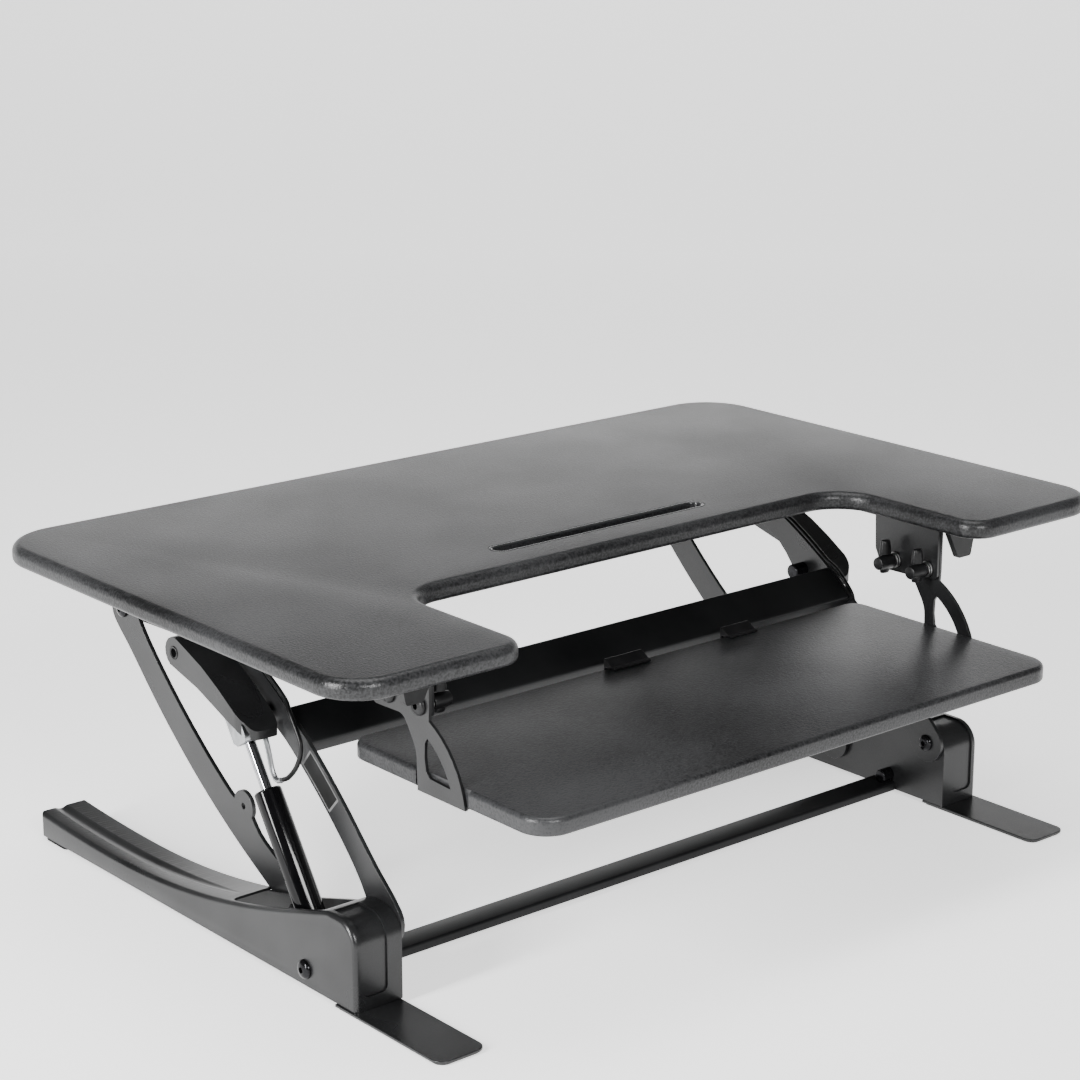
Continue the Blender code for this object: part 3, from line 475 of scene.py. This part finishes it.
def crease_cutter(side):
    """The crease along the base's top, which opens from almost nothing at its front."""
    past, above, least = 0.004, 0.003, 0.00004
    sections = []
    for i in range(TOP_STATIONS + 1):
        y = CREASE_FRONT + (BASE_LENGTH + past - CREASE_FRONT) * i / TOP_STATIONS
        swell = math.sin(math.radians(90 * min(1.0, (y - CREASE_FRONT) / CREASE_OPENING)))
        half, depth = CREASE_HALF * (0.25 + 0.75 * swell), CREASE_DEPTH * swell + least
        floor = [(half * u, -depth * (1 - u * u) ** 2) for u in reversed(CREASE_ACROSS)]
        sections.append([(side * (CREASE_X + u), y, base_top(y) + v)
                         for u, v in [(-half, above)] + floor + [(half, above)]])
    return loft(sections)


def base_shell(side, name):
    """The formed sheet shell: rolled outer edge, hollow below and inside, the spring's well, the embossed
    panel that wraps over its nose, and the crease along its top."""
    def outer(inset):
        return shell_outline(inset, BASE_BOTTOM, BASE_LENGTH - inset)

    def inner(inset):
        return shell_outline(SKIN + inset, BASE_BOTTOM - 0.02, BASE_LENGTH - SKIN - inset)

    shell = new_object(f"base_shell_{name}_formed", rolled_solid(outer, BASE_INNER, BASE_OUTER, side, EDGE_R),
                       "steel")
    carve(shell, rolled_solid(inner, BASE_INNER - CLEAR, BASE_OUTER - SKIN, side, EDGE_R - SKIN, 3))
    carve(shell, well_cutter(side))
    carve(shell, emboss_cutter(side))
    carve(shell, crease_cutter(side))
    carve(shell, prism_x(circle(SPRING_FOOT, SPRING_HOLE_R, 32), side * (BASE_OUTER - CLEAR),
                         side * (BASE_OUTER + CLEAR)))
    ease_edges(shell, 0.0009, 3)
    stand_in(shell, f"base_shell_{name}")


# ---- boards -------------------------------------------------------------------------------------
PANEL_MIN, PANEL_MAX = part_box("desktop_panel")
PANEL_HALF = PANEL_MAX.x
PANEL_FRONT, PANEL_REAR = PANEL_MIN.y - FRONT, PANEL_MAX.y - FRONT
PANEL_EDGE_R = (0.0045, 0.0080)  # below and above
BAY_HALF, BAY_REAR = 0.2714, 0.0877
FRONT_CORNER_R, REAR_CORNER_R, BAY_CORNER_R, WING_CORNER_R = 0.045, 0.060, 0.042, 0.027
SLOT_HALF, SLOT_Y, SLOT_WIDTH, SLOT_DEPTH = 0.127, 0.1380, 0.0160, 0.0090
SLOT_WALL = -0.0002              # the groove's wall, measured out from its plan
RIM_WIDTH, RIM_ROUND, RIM_DEPTH, RIM_SEAT, RIM_PLAY = 0.0040, 0.0014, 0.0021, 0.0022, 0.0001
TRAY_MIN, TRAY_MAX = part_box("keyboard_tray")
TRAY_EDGE_R = (0.0025, 0.0045)   # below and above
TRAY_CORNER_R, TRAY_REAR_CORNER_R = 0.028, 0.018
NOTCH_IN, NOTCH_FRONT, NOTCH_REAR = 0.3122, -0.0605, 0.0105      # where the tray's brackets pass its sides
NOTCH_OUT, NOTCH_LOW, NOTCH_HIGH = 0.33, 0.18, 0.21              # past the tray's side, below and above it


def edge_rounded_board(outline_at, low, high, radius_low, radius_high, steps=9):
    """A board whose edge is rounded over: outline_at(inset) gives its plan, drawn in by the inset."""
    sections = []
    for radius, base, sign in ((radius_low, low + radius_low, -1), (radius_high, high - radius_high, 1)):
        part = []
        for k in range(steps + 1):
            angle = math.radians(90 * k / steps)
            inset = radius * (1 - math.cos(angle))
            part.append([(x, y, base + sign * radius * math.sin(angle)) for x, y in outline_at(inset)])
        sections += part if sign > 0 else part[::-1]
    return loft(sections)


def panel_plan(inset):
    """The work surface in plan with its bay, drawn in by inset."""
    wide, bay = PANEL_HALF - inset, BAY_HALF + inset
    front, rear, back = PANEL_FRONT + inset, PANEL_REAR - inset, BAY_REAR + inset
    corner, wing = FRONT_CORNER_R - inset, WING_CORNER_R - inset
    inner, far = BAY_CORNER_R + inset, REAR_CORNER_R - inset
    return rounded([(-wide, front, corner), (-bay, front, wing), (-bay, back, inner), (bay, back, inner),
                    (bay, front, wing), (wide, front, corner), (wide, rear, far), (-wide, rear, far)], 16)


def slot_plan(grow):
    """The device groove's outline in plan, grown all round."""
    run, radius = SLOT_HALF - SLOT_WIDTH / 2, SLOT_WIDTH / 2 + grow
    return arc((run, SLOT_Y), radius, -90, 90, 14) + arc((-run, SLOT_Y), radius, 90, 270, 14)


def ring(levels, plan):
    """A closed band with a hole: levels is a list of (grow, z) round its section."""
    shape = bmesh.new()
    loops = [[shape.verts.new((x, y, z)) for x, y in plan(grow)] for grow, z in levels]
    for low, high in zip(loops, loops[1:] + loops[:1]):
        for i in range(len(low)):
            j = (i + 1) % len(low)
            shape.faces.new((low[i], low[j], high[j], high[i]))
    bmesh.ops.recalc_face_normals(shape, faces=shape.faces)
    return shape


def top_panel():
    """The work surface: a bullnosed board with the device groove routed in it and lined by a moulded rim."""
    panel = new_object("desktop_panel_finished",
                       edge_rounded_board(panel_plan, PANEL_MIN.z, PANEL_MAX.z, *PANEL_EDGE_R), "laminate")
    top = PANEL_MAX.z
    levels = ((SLOT_WALL, top - SLOT_DEPTH), (SLOT_WALL, top - RIM_SEAT), (RIM_WIDTH, top - RIM_SEAT),
              (RIM_WIDTH, top + CLEAR))
    carve(panel, loft([[(x, y, z) for x, y in slot_plan(grow)] for grow, z in levels]))
    shade(panel.data, 38)
    stand_in(panel, "desktop_panel")


def groove_rim():
    """The moulded rim that lines the device groove's upper edge, rounded on both sides."""
    def rounding(edge, inward, turns):
        return [(edge + inward * RIM_ROUND * (1 - math.cos(math.radians(turn))),
                 top - RIM_ROUND * (1 - math.sin(math.radians(turn)))) for turn in turns]

    top, inner, outer = PANEL_MAX.z, SLOT_WALL, RIM_WIDTH - RIM_PLAY
    section = [(inner, top - RIM_DEPTH)] + rounding(inner, 1, range(0, 91, 15))
    section += rounding(outer, -1, range(90, -1, -15)) + [(outer, top - RIM_DEPTH)]
    rim = new_object("device_groove_rim", ring(section, slot_plan), "rim")
    shade(rim.data, 50)
    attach(rim, "desktop")


def tray_plan(inset):
    """The keyboard tray in plan, drawn in by inset."""
    wide, corner, far = TRAY_MAX.x - inset, TRAY_CORNER_R - inset, TRAY_REAR_CORNER_R - inset
    front, rear = TRAY_MIN.y - FRONT + inset, TRAY_MAX.y - FRONT - inset
    return rounded([(-wide, front, corner), (wide, front, corner), (wide, rear, far),
                    (-wide, rear, far)], 16)


def keyboard_tray():
    """The tray board, notched at both sides for its brackets."""
    tray = new_object("keyboard_tray_finished",
                      edge_rounded_board(tray_plan, TRAY_MIN.z, TRAY_MAX.z, *TRAY_EDGE_R, 6), "laminate")
    for side, _ in (LEFT, RIGHT):
        notch = [(side * NOTCH_IN, NOTCH_FRONT), (side * NOTCH_OUT, NOTCH_FRONT),
                 (side * NOTCH_OUT, NOTCH_REAR), (side * NOTCH_IN, NOTCH_REAR)]
        carve(tray, prism_z(notch, NOTCH_LOW, NOTCH_HIGH))
    shade(tray.data, 38)
    stand_in(tray, "keyboard_tray")


# ---- fasteners ----------------------------------------------------------------------------------
# A button head is its radius, its height and its socket across flats. A tail is where on |x| it stands, its
# radius and its length.
PIVOT_HEAD = (0.0084, 0.0042, 0.0050)
SPRING_HEAD = (0.0088, 0.0045, 0.0052)
TRAY_HEAD = (0.0088, 0.0042, 0.0054)
BASE_PIVOT_FACE, BASE_PIVOT_TAIL = 0.3357, (0.3441, 0.0066, 0.0048)
TOP_PIVOT_FACE, TOP_PIVOT_TAIL = 0.3403, (0.3319, 0.0066, 0.0048)
SPRING_FACE, SPRING_TAIL = 0.3901, (0.3716, 0.0040, 0.0003)
SHANK_R = 0.0040
HEAD_SKIRT = 0.0008              # how far off its face a button head's dome starts
TRAY_BOLTS = (("front", (0.005, 0.2605)), ("rear", (0.047, 0.2605)))
TRAY_FACE = 0.3158
TRAY_SHANK = ((0.3156, 0.0030), (0.2950, 0.0030))
KNOB_HUB = ((0.3029, 0.0064), (0.3029, 0.0068), (0.3010, 0.0074), (0.2880, 0.0070), (0.2842, 0.0062),
            (0.2835, 0.0048))
WING_X, WING_START, WING_LENGTH, WING_RISE = 0.2941, 0.003, 0.0132, 0.0060
WING_HALF_DEEP, WING_HALF_THICK, WING_TIP_HALF = 0.0052, 0.0068, 0.0030
WASHERS = ((0.3078, 0.0080), (0.3052, 0.0074))


def dome(face, out, radius, height, steps=7):
    """Profile of a button head: from its flat face at |x| = face out to its crown."""
    points = [(face, radius * 0.97), (face + out * 0.0003, radius)]
    for k in range(1, steps + 1):
        angle = math.radians(90 * k / steps)
        points.append((face + out * (HEAD_SKIRT + (height - HEAD_SKIRT) * math.sin(angle)),
                       max(radius * math.cos(angle) ** 0.75, radius * 0.36)))
    return points


def hexagon(centre, across_flats, turn):
    """A hexagon's corners, turned by this many degrees."""
    return arc(centre, across_flats / math.sqrt(3), turn, turn + 300, 5)


def button_head(centre, side, face, out, head):
    """A button head with its hexagon socket, as a bmesh."""
    radius, height, socket = head
    made = new_object("head_tool", turned_x(centre, dome(face, out, radius, height), side), "fastener")
    floor, past = face + out * height * 0.25, face + out * (height + 0.002)
    carve(made, prism_x(hexagon(centre, socket, 17), side * floor, side * past))
    return taken_back(made)


def through_bolt(node, centre, side, face, out, head, tail):
    """A button-head bolt with its shank and, at its tail, a hexagon nut on a collar, thicker away from the
    head."""
    at, radius, length = tail
    shank = turned_x(centre, [(face, SHANK_R), (at, SHANK_R)], side, 32)
    nut = prism_x(hexagon(centre, radius * math.sqrt(3), 8), side * at, side * (at - out * length))
    collar = turned_x(centre, [(at, radius * 1.02), (at - out * 0.0008, radius * 1.02)], side, 40)
    top = button_head(centre, side, face, out, head)
    bolt = new_object(f"{node}_finished", joined(top, shank, nut, collar), "fastener")
    ease_edges(bolt, 0.0003)
    stand_in(bolt, node)


def rear_top():
    """The rear arms' upper pivot: as far from its lower pivot as the front arms' pivots are apart."""
    low, high, rear = drawn("lift"), drawn("desktop_level"), drawn("rear_arm_swing_left")
    return (rear[0] + high[0] - low[0], rear[1] + high[1] - low[1])


def fasteners(side, name):
    """The pivot bolts of the four arms and the springs' lower bolts."""
    for place, joint in (("front", "lift"), ("rear", f"rear_arm_swing_{name}")):
        through_bolt(f"{place}_pivot_bolt_{name}", drawn(joint), side, BASE_PIVOT_FACE, -1, PIVOT_HEAD,
                     BASE_PIVOT_TAIL)
    for place, centre in (("front", drawn("desktop_level")), ("rear", rear_top())):
        through_bolt(f"{place}_top_bolt_{name}", centre, side, TOP_PIVOT_FACE, 1, PIVOT_HEAD, TOP_PIVOT_TAIL)
    through_bolt(f"spring_bolt_{name}", SPRING_FOOT, side, SPRING_FACE, 1, SPRING_HEAD, SPRING_TAIL)


def knob_wing(centre, side, reach):
    """One wing of a tray knob, upward or downward, tapering to its tip."""
    rings = []
    for k in range(9):
        t = k / 8
        rise = reach * (WING_START + WING_LENGTH * t) + WING_RISE
        half = WING_HALF_DEEP - 0.0012 * t if t < 0.9 else WING_TIP_HALF
        rings.append([(side * (WING_X + w * WING_HALF_THICK * (1 - 0.25 * t * t)), centre[0] + u * half,
                       centre[1] + rise) for u, w in circle((0, 0), 1.0, 24)])
    return loft(rings)


def tray_washer(centre, side, at, radius, name):
    """A flat washer with its edges broken."""
    profile = [(at + 0.0008, radius - 0.0003), (at + 0.0005, radius), (at - 0.0005, radius),
               (at - 0.0008, radius - 0.0003)]
    washer = new_object(name, turned_x(centre, profile, side), "washer")
    shade(washer.data)
    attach(washer, "desktop")


def tray_knobs(side, name):
    """Each tray bolt: a button head outside, bright washers, and a moulded wing knob inside."""
    for place, centre in TRAY_BOLTS:
        hub = turned_x(centre, KNOB_HUB, side, 40)
        shank = turned_x(centre, TRAY_SHANK, side, 32)
        wings = [knob_wing(centre, side, reach) for reach in (1, -1)]
        knob = new_object(f"tray_knob_{place}_{name}_finished",
                          joined(hub, shank, *wings, button_head(centre, side, TRAY_FACE, 1, TRAY_HEAD)),
                          "nylon")
        ease_edges(knob, 0.0004)
        stand_in(knob, f"tray_knob_{place}_{name}")
        for index, (at, radius) in enumerate(WASHERS):
            tray_washer(centre, side, at, radius, f"tray_washer_{place}_{index}_{name}")


# ---- release cables -----------------------------------------------------------------------------
CABLE_R = 0.0022
FRONT_BOW, FRONT_HALF, END_R = 0.023, 0.0130, 0.0200
ARM_LENGTH = (PIVOT["desktop_level"] - PIVOT["lift"]).length
ARM_ANGLE = math.atan2(PIVOT["desktop_level"].z - PIVOT["lift"].z,
                       PIVOT["desktop_level"].y - PIVOT["lift"].y)
LOOP = ((0.3490, 0.1580, 0.1582), (0.3485, 0.1510, 0.1620), (0.3475, 0.1410, 0.1730),
        (0.3460, 0.1362, 0.1850), (0.3448, 0.1365, 0.1950), (0.3440, 0.1415, 0.2030))
UP_THE_ARM = ((0.60, 0.0036), (0.68, 0.0036), (0.76, 0.0036), (0.83, 0.0038))    # (t, gap to its edge)
UNDER_THE_TOP = ((0.3300, 0.2340, 0.3075), (0.3280, 0.2200, 0.3088), (0.3265, 0.1900, 0.3095),
                 (0.3265, 0.1300, 0.3095), (0.3285, 0.0850, 0.3085), (0.3330, 0.0600, 0.3060),
                 (0.3365, 0.0440, 0.3035))
CABLE_STEP = 0.0035


def arm_point(t, offset):
    """A point beside the front arm's bowed centre line, t from 0 at its lower pivot to 1 at its upper."""
    slope = math.atan(FRONT_BOW * 4 * (1 - 2 * t) / ARM_LENGTH)
    y, z = along(drawn("lift"), ARM_ANGLE, t * ARM_LENGTH)
    y, z = along((y, z), ARM_ANGLE + math.pi / 2, FRONT_BOW * (1 - (2 * t - 1) ** 2))
    return along((y, z), ARM_ANGLE + slope + math.pi / 2, offset)


def arm_half_width(t):
    """Half the front arm's width, which grows towards both of its ends."""
    return FRONT_HALF + (END_R - FRONT_HALF) * (math.exp(-(t / 0.09) ** 2) + math.exp(-((t - 1) / 0.07) ** 2))


def cable_route(side):
    """From the spring's release head, looping to the front arm, up its edge and under the top to the
    handle."""
    route = list(LOOP) + [(0.3420, *arm_point(0.560, FRONT_HALF + 0.0030))]
    route += [(0.3385, *arm_point(t, arm_half_width(t) + gap)) for t, gap in UP_THE_ARM]
    return [(side * x, y, z) for x, y, z in route + list(UNDER_THE_TOP)]


def release_cable(side, name):
    """One cable in place of the CAD's two lengths, bent across the front arm's upper pivot."""
    cable = new_object(f"release_cable_{name}", tube(smooth_route(cable_route(side), CABLE_STEP), CABLE_R),
                       "cable")
    shade(cable.data, 60)
    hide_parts(f"release_cable_lower_{name}", f"release_cable_upper_{name}")
    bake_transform(cable)


# ---- label --------------------------------------------------------------------------------------
# Each layer's name, look, stretch of the arm (t), half width and height off the arm.
LABEL_LAYERS = (("arm_label", "label", 0.305, 0.455, 0.0100, 0.00012),
                ("arm_label_field", "label_ink", 0.311, 0.449, 0.0088, 0.00020))
LABEL_STEPS = 10


def blank_label():
    """A blank foil label with a dark field, wrapped to the left front arm's outer face."""
    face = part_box("front_arm_left")[0].x
    for name, look, t_a, t_b, half, lift in LABEL_LAYERS:
        ts = [t_a + (t_b - t_a) * i / LABEL_STEPS for i in range(LABEL_STEPS + 1)]
        outline = [arm_point(t, half) for t in ts] + [arm_point(t, -half) for t in reversed(ts)]
        label = new_object(name, prism_x(outline, face + 0.00001, face - lift), look)
        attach(label, "front_arms")


# ---- carried-over pieces ------------------------------------------------------------------------
BRACKET_HOLE = (0.277, 0.252)
BUSH = ((0.3445, 0.0052), (0.3440, 0.0058), (0.3440, 0.0061), (0.3822, 0.0061), (0.3828, 0.0056),
        (0.3824, 0.0042), (0.3700, 0.0038))
HEAD_CHEEK = 0.0130              # how far the cast head reaches beside the spring's axis, to the rear
PLANE_FROM, PLANE_TO, PLANE_OUT = 0.15, 0.26, 0.05       # the plane's cut, along and beside that axis
PLANE_X = (0.3400, 0.39)


def trim_head(head, side):
    """Planes the cast head's rear cheek, so that it stays behind the bracket."""
    foot, top = SPRING_FOOT, drawn("spring_swing_left")
    lean = math.atan2(top[1] - foot[1], top[0] - foot[0])
    corners = [along(along(foot, lean, reach), lean - math.pi / 2, offset)
               for reach, offset in ((PLANE_FROM, HEAD_CHEEK), (PLANE_TO, HEAD_CHEEK),
                                     (PLANE_TO, PLANE_OUT), (PLANE_FROM, PLANE_OUT))]
    carve(head, prism_x(corners, side * PLANE_X[0], side * PLANE_X[1]))
    shade(head.data)


def bracket_bush(side, name):
    """The dark spacer tube pressed through both of the spring bracket's sides."""
    bush = new_object(f"bracket_bush_{name}", turned_x(BRACKET_HOLE, BUSH, side), "nylon")
    shade(bush.data)
    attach(bush, "front_arms")


# Each node's look, the width its edges are eased by, and the segments of that easing.
FINISHES = (
    ("inner_plate", "steel", 0.0005, 2), ("foot_plate", "steel", 0.0007, 3),
    ("front_arm", "steel", 0.0006, 3), ("rear_arm", "steel", 0.0006, 3),
    ("spring_bracket", "steel", 0.0009, 3), ("hinge_bracket", "steel", 0.0006, 2),
    ("tray_hanger", "steel", 0.0006, 2), ("tray_bracket", "steel", 0.0006, 2),
    ("handle_bracket", "steel", 0.0004, 2), ("release_handle", "nylon", 0.0009, 3),
    ("release_head", "alloy", 0.0006, 2), ("spring_rod", "chrome", 0.0003, 2),
    ("spring_cylinder", "cylinder", 0.0004, 2), ("spring_pin", "fastener", 0.0003, 2),
    ("spring_nut", "fastener", 0.0003, 2), ("front_pad", "rubber", 0.0003, 2),
    ("rear_pad", "rubber", 0.0006, 2))


def sheet_metal_and_castings(side, name):
    """One side's pieces that keep the CAD's shape, and the bush."""
    for node, look, width, segments in FINISHES:
        made = refined(f"{node}_{name}", look, width, segments)
        if node == "release_head":
            trim_head(made, side)
    bracket_bush(side, name)


# ---- stage --------------------------------------------------------------------------------------
CAMERA_AT = Vector((-1.595, -1.6795 + FRONT, 1.0036))
YAW, PITCH, ROLL = 0.7062, 0.2729, 0.0024        # radians
LENS = 89.53
SHIFT = (-0.0215, -0.0095)
SKY = 0.14
FLOOR_GLOW = 1.10                # lifts the floor's shadows, as a lit studio table does
FLOOR_SIZE, BACKDROP_START, BACKDROP_R, BACKDROP_HEIGHT = 9.0, 3.4, 1.0, 1.6
# Each light's name, place, target, size, power and spread in degrees.
LAMPS = (("overhead", (0.2, 0.2, 3.2), (0, 0, 0), (2.2, 2.2), 45.0, 160),
         ("left", (-2.6, -0.2, 1.1), (-0.2, 0, 0.15), (0.35, 1.6), 55.0, 120),
         ("front", (-0.9, -3.2, 1.9), (0, 0, 0.25), (1.4, 0.5), 42.0, 120))


def floor_and_backdrop():
    """A pale floor that turns up into a low backdrop behind the object, as the camera sees it."""
    size, start, radius = FLOOR_SIZE, BACKDROP_START, BACKDROP_R
    profile = [(-size, 0.0), (start, 0.0)] + arc((start, radius), radius, -90, 0, 16)
    profile.append((start + radius, BACKDROP_HEIGHT))
    shape = bmesh.new()
    direction = Matrix.Rotation(-YAW, 3, "Z")
    rings = [[shape.verts.new(direction @ Vector((x, y, z))) for y, z in profile] for x in (-size, size)]
    for i in range(len(profile) - 1):
        shape.faces.new((rings[0][i], rings[1][i], rings[1][i + 1], rings[0][i + 1]))
    mesh = bpy.data.meshes.new("floor")
    shape.to_mesh(mesh)
    shape.free()
    mesh.shade_smooth()
    pale = bpy.data.materials.new("floor")
    pale.use_nodes = True
    shader = pale.node_tree.nodes["Principled BSDF"]
    shader.inputs["Base Color"].default_value = (0.90, 0.90, 0.90, 1.0)
    shader.inputs["Roughness"].default_value = 0.80
    shader.inputs["Emission Color"].default_value = (1.0, 1.0, 1.0, 1.0)
    shader.inputs["Emission Strength"].default_value = FLOOR_GLOW
    mesh.materials.append(pale)
    floor = bpy.data.objects.new("floor", mesh)
    bpy.context.scene.collection.objects.link(floor)


def area_light(name, at, target, size, power, spread):
    """A rectangular light that faces its target."""
    data = bpy.data.lights.new(name, "AREA")
    data.shape = "RECTANGLE"
    data.size, data.size_y = size
    data.energy = power
    data.spread = math.radians(spread)
    lamp = bpy.data.objects.new(name, data)
    bpy.context.scene.collection.objects.link(lamp)
    lamp.location = at
    lamp.rotation_euler = (Vector(target) - Vector(at)).to_track_quat("-Z", "Y").to_euler()


def lights():
    """A dim even sky and the three lamps."""
    world = bpy.context.scene.world or bpy.data.worlds.new("studio")
    bpy.context.scene.world = world
    world.use_nodes = True
    sky = world.node_tree.nodes["Background"]
    sky.inputs["Color"].default_value = (1.0, 1.0, 1.0, 1.0)
    sky.inputs["Strength"].default_value = SKY
    for lamp in LAMPS:
        area_light(*lamp)


def camera():
    """The camera fitted to the photograph's straight edges."""
    data = bpy.data.cameras.new("camera")
    data.lens = LENS
    data.shift_x, data.shift_y = SHIFT
    eye = bpy.data.objects.new("camera", data)
    bpy.context.scene.collection.objects.link(eye)
    ahead = Vector((math.sin(YAW) * math.cos(PITCH), math.cos(YAW) * math.cos(PITCH), -math.sin(PITCH)))
    eye.location = CAMERA_AT
    turn = ahead.to_track_quat("-Z", "Y").to_matrix()
    eye.rotation_euler = (turn @ Matrix.Rotation(ROLL, 3, "Z")).to_euler()
    bpy.context.scene.camera = eye


def main():
    top_panel()
    groove_rim()
    keyboard_tray()
    blank_label()
    # the crossbeams take the powder coat darkened by painted shade
    refined("lower_crossbeam", "beam", 0.0006)
    refined("upper_crossbeam", "beam", 0.0006)
    for clip in ("tray_rear_clip_centre", "tray_rear_clip_right"):
        refined(clip, "nylon", 0.0005)
    for side, name in (LEFT, RIGHT):
        base_shell(side, name)
        sheet_metal_and_castings(side, name)
        fasteners(side, name)
        tray_knobs(side, name)
        release_cable(side, name)
    floor_and_backdrop()
    lights()
    camera()


main()
